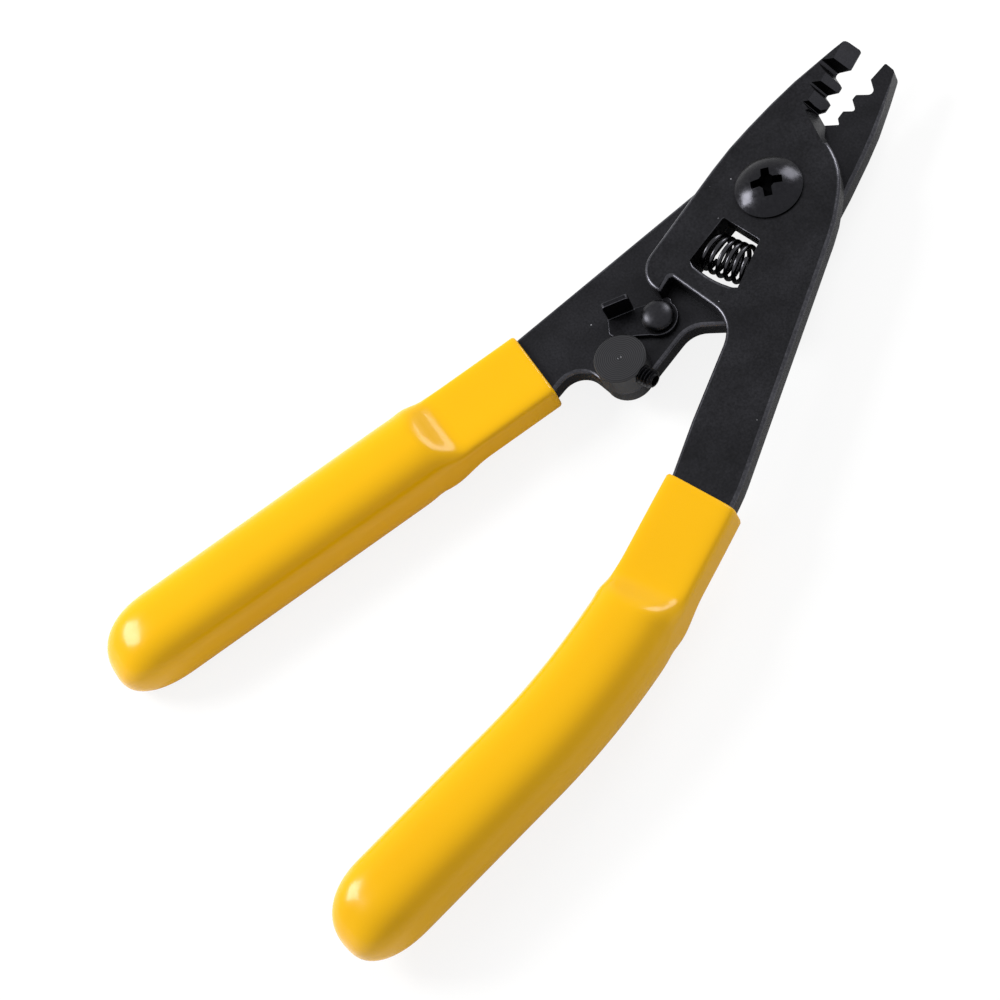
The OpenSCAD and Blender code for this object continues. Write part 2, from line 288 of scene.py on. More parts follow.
def finish_piece(
    piece: bpy.types.Object, body: Body, slot: Slot, material: bpy.types.Material, *nodes: str
) -> bpy.types.Object:
    """Gives a piece its finish, its body and the nodes that it stands for.

    Args:
        piece: the object, in place.
        body: what it moves with.
        slot: material slot of the record; not used.
        material: finish of the surface.
        *nodes: frame nodes that it replaces.

    Returns:
        The same object.
    """
    if not piece.data.materials:
        piece.data.materials.append(material)
    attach(piece, body.value)
    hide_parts(*nodes)
    log.info("%s rides on %s, %d faces", piece.name, body.value, len(piece.data.polygons))
    return piece


# ---------------------------------------------------------------- finishes


@dataclass(frozen=True)
class OxideSteel:
    """Carbon steel, black oxidised in a hot salt bath: a thin matt-black skin over the metal.

    The skin keeps the texture of the steel under it, so a stamped face is satin and faintly
    grained, a ground face is smoother and greyer, and a headed dome is nearly polished.
    """

    name: str
    colour: str = "1D1D1F"
    pale: str = "28282B"
    roughness: float = 0.42
    grain_mm: float = 0.35
    grain_depth_mm: float = 0.010
    dust: float = 0.0

    def material(self) -> bpy.types.Material:
        """Builds the shader.

        Returns:
            The material.
        """
        mat, tree, shader, where = principled(self.name)
        # cloudy tone of the bath, patches about 7 mm across
        cloud = add(tree, "ShaderNodeTexNoise", {"Vector": where, "Scale": per_mm(7), "Detail": 3.0})
        # grain of the rolled and tumbled face
        grain = add(
            tree,
            "ShaderNodeTexNoise",
            {"Vector": where, "Scale": per_mm(self.grain_mm), "Detail": 4.0, "Roughness": 0.65},
        )
        both = add(
            tree,
            "ShaderNodeMath",
            {0: cloud.outputs["Fac"], 1: grain.outputs["Fac"]},
            operation="MULTIPLY",
        )
        tone = add(
            tree,
            "ShaderNodeMapRange",
            {"Value": both.outputs[0], "From Min": 0.14, "From Max": 0.4},
        )
        colour = add(
            tree,
            "ShaderNodeMix",
            {"Factor": tone.outputs[0], 6: linear(self.colour), 7: linear(self.pale)},
            data_type="RGBA",
        )
        last = colour.outputs[2]
        if self.dust > 0:
            # lint and bare pinholes: one pale dot in a few of the 2.2 mm cells
            cell = add(tree, "ShaderNodeTexVoronoi", {"Vector": where, "Scale": per_mm(2.2)})
            dot = add(
                tree,
                "ShaderNodeMath",
                {0: cell.outputs["Distance"], 1: 0.055},
                operation="LESS_THAN",
            )
            chance = add(tree, "ShaderNodeSeparateColor", {"Color": cell.outputs["Color"]})
            rare = add(
                tree,
                "ShaderNodeMath",
                {0: chance.outputs[0], 1: self.dust},
                operation="LESS_THAN",
            )
            mask = add(
                tree, "ShaderNodeMath", {0: dot.outputs[0], 1: rare.outputs[0]}, operation="MULTIPLY"
            )
            specked = add(
                tree,
                "ShaderNodeMix",
                {"Factor": mask.outputs[0], 6: last, 7: linear("8C8C90")},
                data_type="RGBA",
            )
            last = specked.outputs[2]
        tree.links.new(last, shader.inputs["Base Color"])
        shade = add(
            tree,
            "ShaderNodeMapRange",
            {
                "Value": grain.outputs["Fac"],
                "From Min": 0.3,
                "From Max": 0.7,
                "To Min": self.roughness - 0.06,
                "To Max": self.roughness + 0.08,
            },
        )
        tree.links.new(shade.outputs[0], shader.inputs["Roughness"])
        bump = add(
            tree,
            "ShaderNodeBump",
            {"Height": grain.outputs["Fac"], "Distance": self.grain_depth_mm * MM, "Strength": 0.6},
        )
        tree.links.new(bump.outputs[0], shader.inputs["Normal"])
        shader.inputs["Metallic"].default_value = 1.0
        return mat


@dataclass(frozen=True)
class TurnedSteel:
    """Steel bar faced off on a lathe and blackened: fine rings about the axis catch the light."""

    name: str
    centre: Point2
    colour: str = "2A2A2C"
    pale: str = "3B3B3D"
    ring_mm: float = 0.32
    ring_depth_mm: float = 0.014
    roughness: float = 0.38

    def material(self) -> bpy.types.Material:
        """Builds the shader.

        Returns:
            The material.
        """
        mat, tree, shader, where = principled(self.name)
        flat = add(
            tree,
            "ShaderNodeVectorMath",
            {0: where, 1: (self.centre[0] * MM, self.centre[1] * MM, 0)},
            operation="SUBTRACT",
        )
        level = add(
            tree, "ShaderNodeVectorMath", {0: flat.outputs[0], 1: (1, 1, 0)}, operation="MULTIPLY"
        )
        radius = add(tree, "ShaderNodeVectorMath", {0: level.outputs[0]}, operation="LENGTH")
        wobble = add(tree, "ShaderNodeTexNoise", {"Vector": where, "Scale": per_mm(2), "Detail": 2.0})
        shift = add(
            tree,
            "ShaderNodeMath",
            {0: wobble.outputs["Fac"], 1: 0.16 * MM, 2: radius.outputs["Value"]},
            operation="MULTIPLY_ADD",
        )
        turns = add(
            tree,
            "ShaderNodeMath",
            {0: shift.outputs[0], 1: math.tau / (self.ring_mm * MM)},
            operation="MULTIPLY",
        )
        wave = add(tree, "ShaderNodeMath", {0: turns.outputs[0]}, operation="SINE")
        tone = add(
            tree, "ShaderNodeMapRange", {"Value": wave.outputs[0], "From Min": -1.0, "From Max": 1.0}
        )
        colour = add(
            tree,
            "ShaderNodeMix",
            {"Factor": tone.outputs[0], 6: linear(self.colour), 7: linear(self.pale)},
            data_type="RGBA",
        )
        tree.links.new(colour.outputs[2], shader.inputs["Base Color"])
        bump = add(
            tree,
            "ShaderNodeBump",
            {"Height": tone.outputs[0], "Distance": self.ring_depth_mm * MM, "Strength": 0.5},
        )
        tree.links.new(bump.outputs[0], shader.inputs["Normal"])
        shader.inputs["Metallic"].default_value = 1.0
        shader.inputs["Roughness"].default_value = self.roughness
        return mat


@dataclass(frozen=True)
class SpringWire:
    """Drawn music wire, oiled: smooth and nearly black, with sharp bright lines along each turn."""

    name: str
    colour: str = "38383B"
    roughness: float = 0.2
    draw_mm: float = 0.1

    def material(self) -> bpy.types.Material:
        """Builds the shader.

        Returns:
            The material.
        """
        mat, tree, shader, where = principled(self.name)
        film = add(tree, "ShaderNodeTexNoise", {"Vector": where, "Scale": per_mm(1.5), "Detail": 2.0})
        gloss = add(
            tree,
            "ShaderNodeMapRange",
            {
                "Value": film.outputs["Fac"],
                "To Min": self.roughness - 0.06,
                "To Max": self.roughness + 0.12,
            },
        )
        lines = add(
            tree, "ShaderNodeTexNoise", {"Vector": where, "Scale": per_mm(self.draw_mm), "Detail": 1.0}
        )
        bump = add(
            tree,
            "ShaderNodeBump",
            {"Height": lines.outputs["Fac"], "Distance": 0.002 * MM, "Strength": 0.4},
        )
        tree.links.new(gloss.outputs[0], shader.inputs["Roughness"])
        tree.links.new(bump.outputs[0], shader.inputs["Normal"])
        shader.inputs["Base Color"].default_value = linear(self.colour)
        shader.inputs["Metallic"].default_value = 1.0
        return mat


@dataclass(frozen=True)
class DippedVinyl:
    """Plastisol, hot dipped and cured: a thick glossy skin with a soft unevenness of the drip.

    It is filled with pigment, so it is opaque; its colour drifts between a yellow and a warmer yellow over the
    patches of the drip.
    """

    name: str
    colour: str = "D6A400"
    warm: str = "D29B00"
    roughness: float = 0.22
    drip_mm: float = 22
    skin_mm: float = 1.1

    def material(self) -> bpy.types.Material:
        """Builds the shader.

        Returns:
            The material.
        """
        mat, tree, shader, where = principled(self.name)
        drip = add(
            tree, "ShaderNodeTexNoise", {"Vector": where, "Scale": per_mm(self.drip_mm), "Detail": 2.0}
        )
        skin = add(
            tree, "ShaderNodeTexNoise", {"Vector": where, "Scale": per_mm(self.skin_mm), "Detail": 3.0}
        )
        colour = add(
            tree,
            "ShaderNodeMix",
            {"Factor": drip.outputs["Fac"], 6: linear(self.colour), 7: linear(self.warm)},
            data_type="RGBA",
        )
        tree.links.new(colour.outputs[2], shader.inputs["Base Color"])
        gloss = add(
            tree,
            "ShaderNodeMapRange",
            {
                "Value": skin.outputs["Fac"],
                "To Min": self.roughness - 0.05,
                "To Max": self.roughness + 0.07,
            },
        )
        tree.links.new(gloss.outputs[0], shader.inputs["Roughness"])
        sag = add(
            tree,
            "ShaderNodeBump",
            {"Height": drip.outputs["Fac"], "Distance": 0.5 * MM, "Strength": 0.25},
        )
        peel = add(
            tree,
            "ShaderNodeBump",
            {
                "Height": skin.outputs["Fac"],
                "Distance": 0.012 * MM,
                "Strength": 0.35,
                "Normal": sag.outputs[0],
            },
        )
        tree.links.new(peel.outputs[0], shader.inputs["Normal"])
        shader.inputs["IOR"].default_value = 1.5
        shader.inputs["Specular IOR Level"].default_value = 0.13
        shader.inputs["Coat Weight"].default_value = 0.08
        shader.inputs["Coat Roughness"].default_value = 0.08
        return mat


# ---------------------------------------------------------------- sub-assemblies


@dataclass
class StampedLever:
    """One lever: a plate punched from strip, its face edges rolled over, its jaw ground after."""

    node: str
    body: Body
    z_face: float
    z_back: float
    jaw_side: int
    roll: float = 0.58
    back_roll: float = 0.2
    jaw_root: float = 12.6
    jaw_w: float = 5.7
    tip_from: float = 21.0
    window_r: float = 17.3
    window_x: Point2 = (-4.5, 6.2)
    bore_top: float = 3.3
    window_top: float = -8.0
    rim_roll: float = 0.16

    def on_jaw(self, p: Vector) -> bool:
        """Tells whether a point in mm lies on the ground cutting side of the jaw."""
        return p.y > self.jaw_root and -p.x * self.jaw_side < self.jaw_w

    def in_window(self, p: Vector) -> bool:
        """Tells whether a point in mm lies on the rim of the spring window or the bore."""
        left, right = self.window_x
        inside = -self.window_r < p.y < self.bore_top and left < p.x < right
        return inside and math.hypot(p.x, p.y) < self.window_r

    def build(
        self,
        stamped: bpy.types.Material,
        ground: bpy.types.Material,
        wear_and_sheen: bpy.types.Material,
        painted_shade: bpy.types.Material,
    ) -> bpy.types.Object:
        """Rounds the plate's edges and gives the ground faces and the rolled edges their finish.

        Args:
            stamped: finish of the plate.
            ground: finish of the ground jaw faces.
            wear_and_sheen: finish of the rolled face edges, rubbed bright, its lighter colour partly a painted
                highlight.
            painted_shade: near-black painted shade for the gullet walls that face the pivot.

        Returns:
            The lever.
        """
        bm = frame_mesh(self.node)

        def outer(p: Vector) -> bool:
            """Face edge of the outline."""
            rim = abs(p.z - self.z_face) < 0.01 and p.y < self.tip_from
            return rim and not self.on_jaw(p) and not self.in_window(p)

        def window(p: Vector) -> bool:
            """Face edge of the window."""
            return abs(p.z - self.z_face) < 0.01 and self.in_window(p) and p.y < self.window_top

        def back(p: Vector) -> bool:
            """Back edge of the outline and window."""
            return abs(p.z - self.z_back) < 0.01 and not self.on_jaw(p) and p.y < self.tip_from

        # the rolled face edges and the window rim take the lighter finish: edge wear and a painted highlight
        round_edges(bm, outer, self.roll, 4, Skin.WEAR_AND_SHEEN)
        round_edges(bm, window, self.rim_roll, 2, Skin.WEAR_AND_SHEEN)
        round_edges(bm, back, self.back_roll, 2)
        for face in bm.faces:
            centre = face.calc_center_median() / MM
            slant = 0.1 < abs(face.normal.z) < 0.97
            if not slant or not self.on_jaw(centre) or face.material_index != Skin.STAMPED:
                continue
            # teeth are ground bright; the gullet walls that face the pivot get painted shade, near black
            if abs(face.normal.y) < 0.4:
                face.material_index = Skin.GROUND
            elif face.normal.y < 0:
                face.material_index = Skin.PAINTED_SHADE
        piece = place(bm, f"{self.node}_dressed")
        for finish in (stamped, ground, wear_and_sheen, painted_shade):
            piece.data.materials.append(finish)
        return finish_piece(piece, self.body, Slot.OXIDE, stamped, self.node)


@dataclass
class Pivot:
    """Pivot screw with a domed cross-recess head, its washer and its nut."""

    head_d: float = 11.3
    head_h: float = 2.3
    shank_d: float = 6.0
    recess_span: float = 5.2
    recess_w: float = 1.4
    recess_deg: float = 43
    recess_depth: float = 1.9

    def head_profile(self, z0: float) -> list[Point2]:
        """Profile of the screw from its end up over the head.

        Args:
            z0: height of the face that the head lies on.

        Returns:
            (radius, height) points in mm.
        """
        lowest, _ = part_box("pivot_screw")
        end = lowest.z / MM
        r, lip, h = self.head_d / 2, 0.42, self.head_h
        shank = self.shank_d / 2
        points = [(0, end), (shank - 0.5, end), (shank, end + 0.5), (shank, z0)]
        points += [(r - 0.25, z0), (r - 0.06, z0 + 0.08), (r, z0 + 0.22), (r - 0.03, z0 + lip)]
        # spherical cap from the lip to the top
        rise = h - lip
        ball = ((r - 0.1) ** 2 + rise**2) / (2 * rise)
        widest = math.asin((r - 0.1) / ball)
        for i in range(15):
            a = widest * (1 - i / 14)
            points.append((ball * math.sin(a) if i < 14 else 0.0, z0 + h - ball * (1 - math.cos(a))))
        return points

    def cut_recess(self, head: bpy.types.Object, z_top: float) -> None:
        """Sinks the cross recess: two tapering bars and the round punch in the middle.

        Args:
            head: the screw.
            z_top: height of the dome's top in mm.
        """
        cutters = []
        for turn in (0, 90):
            bm = bmesh.new()
            rings = []
            for z, span, width in (
                (z_top - self.recess_depth, 0.8, 0.74),
                (z_top - 0.55, 0.98, 0.94),
                (z_top + 0.6, 1.12, 1.1),
            ):
                x, y = self.recess_span / 2 * span, self.recess_w / 2 * width
                spin = Matrix.Rotation(math.radians(self.recess_deg + turn), 4, "Z")
                corners = ((-x, -y), (x, -y), (x, y), (-x, y))
                rings.append([bm.verts.new(spin @ Vector((a, b, z)) * MM) for a, b in corners])
            join(bm, rings)
            cutters.append(place(bm, f"recess_bar_{turn}"))
        floor, over = z_top - self.recess_depth, z_top + 0.6
        cone = [(0, floor - 0.3), (0.75, floor), (1.55, over), (0, over)]
        cutters.append(place(revolve(cone, 32, Matrix()), "recess_punch"))
        carve(head, cutters)

    def build(
        self, steel: bpy.types.Material, plain: bpy.types.Material, painted_shade: bpy.types.Material
    ) -> None:
        """Builds the screw and dresses the washer and the nut.

        Args:
            steel: polished finish of the head.
            plain: finish of the nut and the washer.
            painted_shade: near-black painted shade inside the recess.
        """
        _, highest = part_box("pivot_screw")
        z_top = highest.z / MM
        profile = self.head_profile(z_top - self.head_h)
        screw = place(revolve(profile, 128, Matrix()), "pivot_screw_dressed")
        self.cut_recess(screw, z_top)
        for finish in (steel, painted_shade):
            screw.data.materials.append(finish)
        ball = (self.head_d**2 / 4 + self.head_h**2) / (2 * self.head_h)
        # faces deep in the recess take the near-black painted shade
        for face in screw.data.polygons:
            c = face.center / MM
            dome_z = z_top - ball + math.sqrt(max(0.0, ball**2 - c.x**2 - c.y**2))
            near = math.hypot(c.x, c.y) < self.recess_span / 2 + 0.25
            deep = c.z > z_top - self.recess_depth - 0.4 and dome_z - c.z > 0.12
            face.material_index = int(near and deep)
        finish_piece(screw, Body.REAR, Slot.SCREW, steel, "pivot_screw")
        for node in ("pivot_washer", "pivot_nut"):
            bm = frame_mesh(node)
            round_edges(bm, lambda p: True, 0.12, 2)
            finish_piece(place(bm, f"{node}_dressed"), Body.REAR, Slot.SCREW, plain, node)


def carve(piece: bpy.types.Object, cutters: Sequence[bpy.types.Object]) -> None:
    """Cuts solids out of a piece and removes them.

    Args:
        piece: what is cut.
        cutters: what cuts it.
    """
    shade = piece.modifiers[0]
    piece.modifiers.remove(shade)
    for cutter in cutters:
        cut = piece.modifiers.new("cut", "BOOLEAN")
        cut.operation = "DIFFERENCE"
        cut.solver = "EXACT"
        cut.object = cutter
    bpy.context.view_layer.update()
    graph = bpy.context.evaluated_depsgraph_get()
    mesh = bpy.data.meshes.new_from_object(piece.evaluated_get(graph))
    piece.modifiers.clear()
    bm = bmesh.new()
    bm.from_mesh(mesh)
    for edge in bm.edges:
        edge.smooth = len(edge.link_faces) == 2 and edge.calc_face_angle(0) < math.radians(28)
    for face in bm.faces:
        face.smooth = True
    bm.to_mesh(mesh)
    bm.free()
    piece.data = mesh
    again = piece.modifiers.new("even_faces", "WEIGHTED_NORMAL")
    again.keep_sharp = True
    again.weight = 100
    for cutter in cutters:
        bpy.data.objects.remove(cutter)


@dataclass
class ReturnSpring:
    """Compression spring that lies in the window of both levers, bent to their swing."""

    outer_d: float = 6.9
    wire_d: float = 0.8
    coils: float = 5.5
    start_deg: float = -90
    close_deg: float = 13.4
    clear: float = 0.15
    fan: Point2 = (-1.9, 20.2)
    first_deg: float = -93.2
    last_deg: float = -78.2
    axis_r: float = 32.9
    z_mid: float = 7.7

    def point(self, t: float) -> tuple[Vector, Vector]:
        """A point on the wire's middle and the direction away from the spring's axis.

        Args:
            t: 0 at one end of the wire and 1 at the other.

        Returns:
            The point and the unit direction, in mm.
        """
        inner = self.axis_r - self.outer_d / 2
        edge = math.degrees((self.wire_d / 2 + 0.12) / inner)
        a0, a1 = self.first_deg + edge, self.last_deg - edge
        a = math.radians(a0 + (a1 - a0) * t)
        b = math.radians(self.start_deg + 360 * self.coils * t)
        m = (self.outer_d - self.wire_d) / 2
        out = Vector((math.cos(b) * math.cos(a), math.cos(b) * math.sin(a), math.sin(b)))
        reach = self.axis_r * Vector((math.cos(a), math.sin(a), 0))
        return Vector((*self.fan, self.z_mid)) + reach + out * m, out

    def build(self, wire: bpy.types.Material) -> None:
        """Winds the coil.

        Args:
            wire: finish of the wire.
        """
        bm = bmesh.new()
        steps, sides = int(self.coils * 48), 14
        rings = []
        for i in range(steps + 1):
            t = i / steps
            centre, out = self.point(t)
            along = (self.point(t + 1e-3)[0] - self.point(t - 1e-3)[0]).normalized()
            side = along.cross(out)
            r = self.wire_d / 2 * (0.86 if i in (0, steps) else 1)
            ring = []
            for k in range(sides):
                a = math.tau * k / sides
                ring.append(bm.verts.new((centre + r * (math.cos(a) * out + math.sin(a) * side)) * MM))
            rings.append(ring)
        join(bm, rings)
        coil = place(bm, "return_spring_dressed")
        finish_piece(coil, Body.REAR, Slot.WIRE, wire, "return_spring")
        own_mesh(coil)


@dataclass
class Stop:
    """Turned boss on the rear lever with a cup-point set screw that meets the front arm."""

    centre: Point2 = (-3.3, -36.85)
    set_d: float = 3.2
    pitch: float = 0.6
    socket: float = 1.7
    socket_depth: float = 1.3

    def thread(self) -> bmesh.types.BMesh:
        """Cuts the set screw's thread as a true helix, with its hexagon socket.

        Returns:
            The mesh in metres, in place.
        """
        lowest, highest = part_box("stop_set_screw")
        tip, end = highest.x / MM, lowest.x / MM
        y, z = self.centre[1], (lowest.z + highest.z) / 2 / MM
        sides, length = 48, tip - end
        crest, root = self.set_d / 2, self.set_d / 2 - 0.32
        bm = bmesh.new()

        def ring(depth: float, size: Callable[[float], float]) -> list[bmesh.types.BMVert]:
            """One ring round the screw at a depth behind its tip."""
            out = []
            for k in range(sides):
                a = math.tau * k / sides
                r = size(a)
                p = Vector((tip - depth, y + r * math.cos(a), z + r * math.sin(a)))
                out.append(bm.verts.new(p * MM))
            return out

        def hexagon(a: float) -> float:
            """Radius of the socket at an angle."""
            return self.socket / 2 / math.cos((a + math.pi / 6) % (math.pi / 3) - math.pi / 6)

        def flank(depth: float) -> Callable[[float], float]:
            """Radius of the thread at a depth, by angle."""

            def radius(a: float) -> float:
                turn = (depth / self.pitch - a / math.tau) % 1.0
                tooth = min(1.0, max(0.0, 2.6 * (0.5 - abs(turn - 0.5)) - 0.15))
                chamfer = min(1.0, depth / 0.45)
                return root - 0.12 + (crest - root + 0.12) * tooth * chamfer

            return radius

        rings = [ring(self.socket_depth, hexagon), ring(0.0, hexagon), ring(0.0, lambda a: root - 0.15)]
        steps = int(length / 0.05)
        start = 0.04
        for i in range(steps + 1):
            depth = start + (length - start) * i / steps
            rings.append(ring(depth, flank(depth)))
        join(bm, rings)
        return bm

    def build(self, turned: bpy.types.Material, steel: bpy.types.Material) -> None:
        """Dresses the boss and builds the set screw.

        Args:
            turned: finish of the boss.
            steel: finish of the set screw.
        """
        bm = frame_mesh("stop_boss")
        finish_piece(place(bm, "stop_boss_dressed", 28), Body.REAR, Slot.TURNED, turned, "stop_boss")
        screw = place(self.thread(), "stop_set_screw_dressed", 50)
        finish_piece(screw, Body.REAR, Slot.SCREW, steel, "stop_set_screw")


@dataclass
class Latch:
    """Swinging latch plate with a bent-up thumb tab, on a domed rivet over a spring washer."""

    rivet: Point2 = (-3.5, -27.05)
    head_d: float = 5.5
    head_h: float = 1.7
    shank_d: float = 3.0

    def build(
        self,
        plate: bpy.types.Material,
        wear_and_sheen: bpy.types.Material,
        steel: bpy.types.Material,
        spring: bpy.types.Material,
    ) -> None:
        """Builds the three pieces.

        Args:
            plate: finish of the latch plate.
            wear_and_sheen: finish of its edges, where the thumb rubs them, its lighter colour partly a painted
                highlight.
            steel: finish of the rivet.
            spring: finish of the washer.
        """
        bm = frame_mesh("latch")
        # the rounded top edges take the lighter finish: wear and a painted highlight
        round_edges(bm, lambda p: p.z > 7.72, 0.14, 2, 1)
        piece = place(bm, "latch_dressed")
        for finish in (plate, wear_and_sheen):
            piece.data.materials.append(finish)
        finish_piece(piece, Body.LATCH, Slot.OXIDE, plate, "latch")
        lowest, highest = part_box("latch_rivet")
        z0, end = highest.z / MM - self.head_h, lowest.z / MM
        r, h, s = self.head_d / 2, self.head_h, self.shank_d / 2
        # upset tail, then the shank and the underside of the head
        points = [(0, end + 0.1), (s + 0.2, end + 0.02), (s + 0.75, end + 0.3)]
        points += [(s + 0.7, end + 0.6), (s, end + 0.9)]
        points += [(s, z0), (r - 0.25, z0), (r - 0.05, z0 + 0.07), (r, z0 + 0.22)]
        # flattened dome, as a header leaves it
        for i in range(1, 15):
            a = math.pi / 2 * i / 14
            points.append((r * math.cos(a) ** 0.86 if i < 14 else 0.0, z0 + 0.22 + (h - 0.22) * math.sin(a)))
        at = Matrix.Translation((*self.rivet, 0))
        rivet = place(revolve(points, 96, at), "latch_rivet_dressed")
        finish_piece(rivet, Body.REAR, Slot.SCREW, steel, "latch_rivet")
        bm = frame_mesh("latch_spring_washer")
        round_edges(bm, lambda p: True, 0.08, 2)
        washer = place(bm, "latch_spring_washer_dressed")
        finish_piece(washer, Body.REAR, Slot.WIRE, spring, "latch_spring_washer")


def ease(t: float) -> float:
    """Smooth step from 0 to 1, flat at both ends."""
    t = max(0.0, min(1.0, t))
    return t * t * (3 - 2 * t)


@dataclass
class Grip:
    """Dipped sleeve on a lever's tang: a flat collar, a rounded shoulder, a full hand part."""

    node: str
    body: Body
    start: Point2
    heading: float
    z_mid: float
    length: float
    bend: float = 0.0
    skew: float = 0.0
    straight: float = 13
    bend_len: float = 38
    width: float = 14.6
    thick: float = 12.35
    collar_w: float = 13.35
    collar_t: float = 5.8
    collar_len: float = 17
    shoulder: float = 6
    flank: float = 13
    crown: float = 3.0
    round_end: float = 11.0
    droop: float = 2.8
    end_power: float = 2.3

    def middle(self, s: float) -> tuple[Vector, float]:
        """Point and heading of the middle line at a distance from the open end.

        Args:
            s: distance in mm.

        Returns:
            The point in the plane, and the heading across the grip in radians.
        """
        s1 = min(s, self.straight)
        s2 = max(0.0, min(s - self.straight, self.bend_len))
        s3 = max(0.0, s - self.straight - self.bend_len)
        turn = self.bend * s2 / self.bend_len
        half = math.radians(turn / 2)
        chord = s2 if turn == 0 else s2 * math.sin(half) / half
        point = Vector(self.start)
        for step, angle in ((s1, self.heading), (chord, self.heading - turn / 2), (s3, self.heading - turn)):
            point += step * Vector((math.cos(math.radians(angle)), math.sin(math.radians(angle))))
        return point, math.radians(self.heading - turn - self.skew * max(0.0, 1 - s / 10) + 90)

    def ring(self, bm: bmesh.types.BMesh, s: float, shrink: float, sides: int) -> list[bmesh.types.BMVert]:
        """One closed section of the sleeve.

        Args:
            bm: the mesh that takes the points.
            s: distance from the open end in mm.
            shrink: how far the section is drawn in, in mm.
            sides: points round it.

        Returns:
            The ring of vertices.
        """
        left = self.length - s
        near_end = max(0.0, min(1.0, 1 - left / self.round_end))
        full = (1 - near_end**self.end_power) ** (1 / self.end_power)
        centre, across = self.middle(s)
        out = []
        for k in range(sides):
            q = math.tau * (k + 0.5) / sides
            side = abs(math.cos(q))
            t = ease((s - self.collar_len - self.crown * side**3 * 0.5) / self.shoulder)
            # the flanks and the underside fill out over a longer run than the hump on top
            slow = ease((s - self.collar_len + 3) / self.flank)
            rise = t if q < math.pi else slow
            e = 7 + (2.7 - 7) * t
            w = (self.collar_w + (self.width - self.collar_w) * slow) / 2 - shrink
            h = (self.collar_t + (self.thick - self.collar_t) * rise) / 2 - shrink
            k_end = 0.02 + 0.98 * full
            x = w * k_end * math.copysign(abs(math.cos(q)) ** (2 / e), math.cos(q))
            z = h * k_end * math.copysign(abs(math.sin(q)) ** (2 / e), math.sin(q))
            drop = self.droop * (1 - full)
            side_step = x * Vector((math.cos(across), math.sin(across)))
            p = Vector((*(centre + side_step), self.z_mid - drop + z))
            out.append(bm.verts.new(p * MM))
        return out

    def build(self, vinyl: bpy.types.Material) -> None:
        """Lofts the sleeve and its lip.

        Args:
            vinyl: finish of the sleeve.
        """
        bm = bmesh.new()
        sides = 96
        # the open end turns in over its lip: distance along, then how far it is drawn in
        stations = [(0.9, 0.95), (0.25, 0.75), (0.02, 0.45), (0.12, 0.16), (0.45, 0.0)]
        stations += [(1.2 + i * 1.0, 0.0) for i in range(int(self.length - self.round_end - 1.2) + 1)]
        last = self.length - self.round_end
        stations = [x for x in stations if x[0] < last - 0.3]
        stations += [(last + self.round_end * math.sin(math.radians(a)), 0.0) for a in range(0, 91, 5)]
        rings = [self.ring(bm, s, shrink, sides) for s, shrink in stations]
        join(bm, rings)
        sleeve = place(bm, f"{self.node}_dressed", 60)
        finish_piece(sleeve, self.body, Slot.VINYL, vinyl, self.node)


# ---------------------------------------------------------------- studio


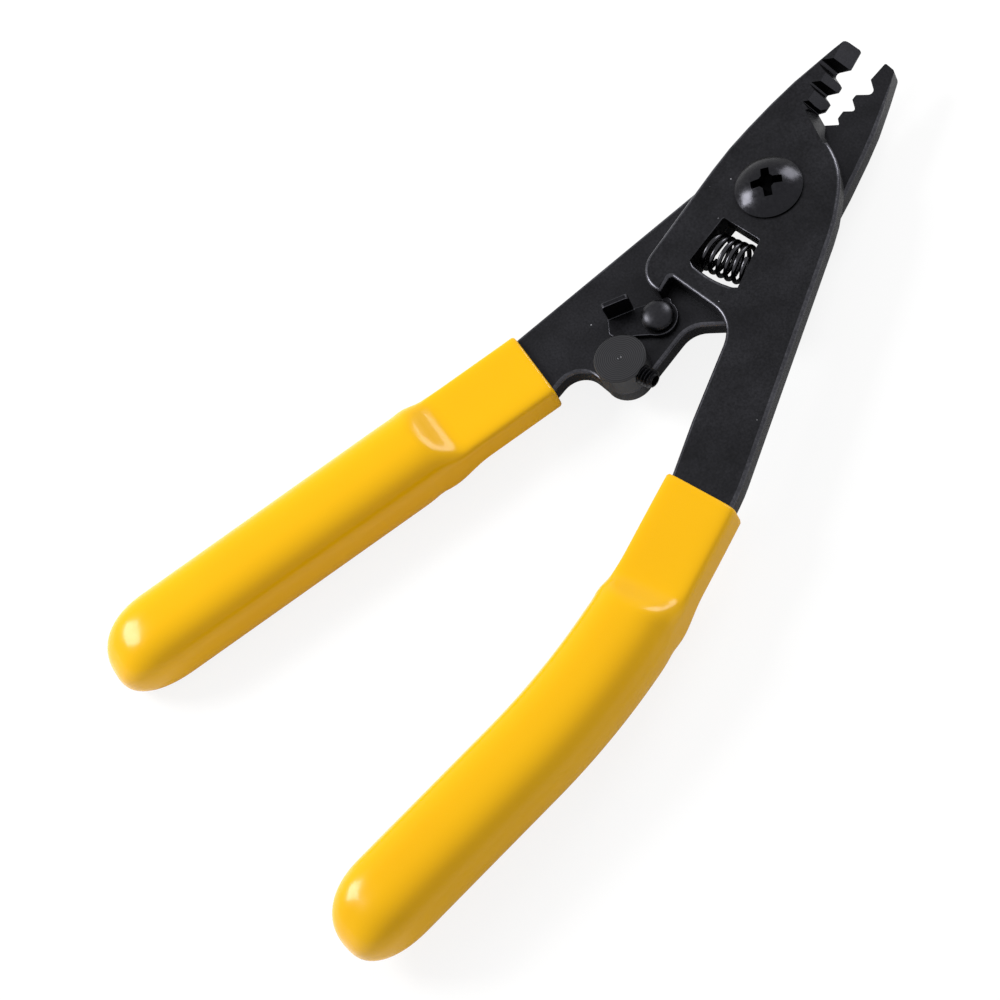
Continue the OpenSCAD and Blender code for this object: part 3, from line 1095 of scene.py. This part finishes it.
@dataclass
class Studio:
    """Pale table, soft lamps and the camera."""

    camera_at: tuple[float, float, float] = (0.32097, -0.21322, 0.60771)
    right: tuple[float, float, float] = (0.76961, 0.57360, -0.28051)
    up: tuple[float, float, float] = (-0.43245, 0.79146, 0.43195)
    back: tuple[float, float, float] = (0.46978, -0.21113, 0.85717)
    lens: float = 160.27
    ambient: float = 0.56

    def camera(self) -> None:
        """Sets the camera."""
        data = bpy.data.cameras.new("camera")
        data.sensor_width = 36
        data.lens = self.lens
        data.clip_start, data.clip_end = 0.05, 20
        cam = bpy.data.objects.new("camera", data)
        bpy.context.scene.collection.objects.link(cam)
        axes = Matrix((self.right, self.up, self.back)).transposed()
        cam.matrix_world = Matrix.Translation(self.camera_at) @ axes.to_4x4()
        bpy.context.scene.camera = cam

    def lamp(
        self, name: str, way: tuple[float, float, float], far: float, size: float, power: float
    ) -> None:
        """Adds one soft lamp that faces the tool.

        Args:
            name: name of the lamp.
            way: direction from the tool to the lamp.
            far: distance in metres.
            size: side of the square lamp in metres.
            power: watts.
        """
        data = bpy.data.lights.new(name, "AREA")
        data.shape = "SQUARE"
        data.size = size
        data.energy = power
        lamp = bpy.data.objects.new(name, data)
        bpy.context.scene.collection.objects.link(lamp)
        target = Vector((-0.005, -0.04, 0.008))
        lamp.location = target + Vector(way).normalized() * far
        lamp.rotation_euler = Vector(way).to_track_quat("Z", "Y").to_euler()

    def world(self) -> None:
        """White surroundings that light softly and show white behind the tool."""
        world = bpy.data.worlds.new("white_room")
        world.use_nodes = True
        bpy.context.scene.world = world
        tree = world.node_tree
        tree.nodes.clear()
        path = add(tree, "ShaderNodeLightPath")
        seen = add(
            tree,
            "ShaderNodeMath",
            {0: path.outputs["Is Camera Ray"], 1: path.outputs["Is Glossy Ray"]},
            operation="MAXIMUM",
        )
        clear = add(
            tree,
            "ShaderNodeMath",
            {0: seen.outputs[0], 1: path.outputs["Is Transmission Ray"]},
            operation="MAXIMUM",
        )
        soft = add(tree, "ShaderNodeBackground", {"Color": (1, 1, 1, 1), "Strength": self.ambient})
        white = add(tree, "ShaderNodeBackground", {"Color": (1, 1, 1, 1), "Strength": 1.0})
        mixed = add(tree, "ShaderNodeMixShader", {0: clear.outputs[0], 1: soft.outputs[0], 2: white.outputs[0]})
        add(tree, "ShaderNodeOutputWorld", {0: mixed.outputs[0]})

    def table(self) -> None:
        """Pale matt table that keeps the tool's soft shadow."""
        bm = bmesh.new()
        bmesh.ops.create_grid(bm, x_segments=1, y_segments=1, size=2.0)
        bmesh.ops.translate(bm, verts=bm.verts, vec=(0, 0, CAD_BOX[0].z - 0.0002))
        mesh = bpy.data.meshes.new("table")
        bm.to_mesh(mesh)
        bm.free()
        table = bpy.data.objects.new("table", mesh)
        bpy.context.scene.collection.objects.link(table)
        mat = bpy.data.materials.new("white_card")
        mat.use_nodes = True
        tree = mat.node_tree
        tree.nodes.clear()
        path = add(tree, "ShaderNodeLightPath")
        matt = add(tree, "ShaderNodeBsdfDiffuse", {"Color": linear("F4F4F4")})
        glow = add(tree, "ShaderNodeEmission", {"Color": (1, 1, 1, 1), "Strength": 1.0})
        share = add(tree, "ShaderNodeMath", {0: path.outputs["Is Camera Ray"], 1: 0.86}, operation="MULTIPLY")
        mixed = add(tree, "ShaderNodeMixShader", {0: share.outputs[0], 1: matt.outputs[0], 2: glow.outputs[0]})
        add(tree, "ShaderNodeOutputMaterial", {0: mixed.outputs[0]})
        table.data.materials.append(mat)

    def build(self) -> None:
        """Sets up the whole studio."""
        self.camera()
        self.world()
        self.table()
        self.lamp("key_left", (-0.72, -0.33, 0.61), 0.9, 0.34, 9.5)
        self.lamp("key_jaws", (-0.08, 0.86, 0.49), 0.9, 0.36, 5.0)
        bpy.context.scene.view_settings.view_transform = "Standard"


def main() -> None:
    """Builds the studio and each sub-assembly in order."""
    logging.basicConfig(level=logging.INFO, format="%(message)s")
    Studio().build()

    stamped = OxideSteel("black_oxide_steel_stamped", dust=0.12).material()
    ground = OxideSteel("black_oxide_steel_ground", "2C2C2F", "3A3A3E", 0.46, 0.22, 0.012).material()
    # rubbed edges: real wear, with a lighter colour that is partly a painted highlight
    wear_and_sheen = OxideSteel("black_oxide_steel_wear_and_sheen", "333337", "4C4C51", 0.27, 0.5, 0.006).material()
    headed = OxideSteel("black_oxide_steel_headed", "232326", "2A2A2D", 0.2, 0.6, 0.004).material()
    plain = OxideSteel("black_oxide_steel_plain", "19191B", "222225", 0.38, 0.4, 0.006).material()
    riveted = OxideSteel("black_oxide_steel_riveted", "27272A", "2E2E31", 0.36, 0.5, 0.006).material()
    # painted shade: near black, for the gullet walls and the screw recess
    painted_shade = OxideSteel("black_oxide_steel_painted_shade", "060607", "0A0A0B", 0.6, 0.4, 0.006).material()
    turned = TurnedSteel("turned_steel_blackened", Stop().centre).material()
    wire = SpringWire("music_wire_oiled").material()
    vinyl = DippedVinyl("plastisol_dipped").material()

    StampedLever("rear_lever", Body.REAR, 7.7, 4.7, -1).build(stamped, ground, wear_and_sheen, painted_shade)
    StampedLever("front_lever", Body.FRONT, 10.7, 7.7, 1).build(stamped, ground, wear_and_sheen, painted_shade)
    Pivot().build(headed, plain, painted_shade)
    ReturnSpring().build(wire)
    Stop().build(turned, plain)
    Latch().build(plain, wear_and_sheen, riveted, wire)
    Grip("right_grip", Body.FRONT, (21.85, -49.4), -82, 9.2, 89.5, bend=18.2, skew=8).build(vinyl)
    Grip("left_grip", Body.REAR, (-16.9, -43.4), -111.5, 6.2, 83, width=14.2).build(vinyl)


if __name__ == "__main__":
    main()
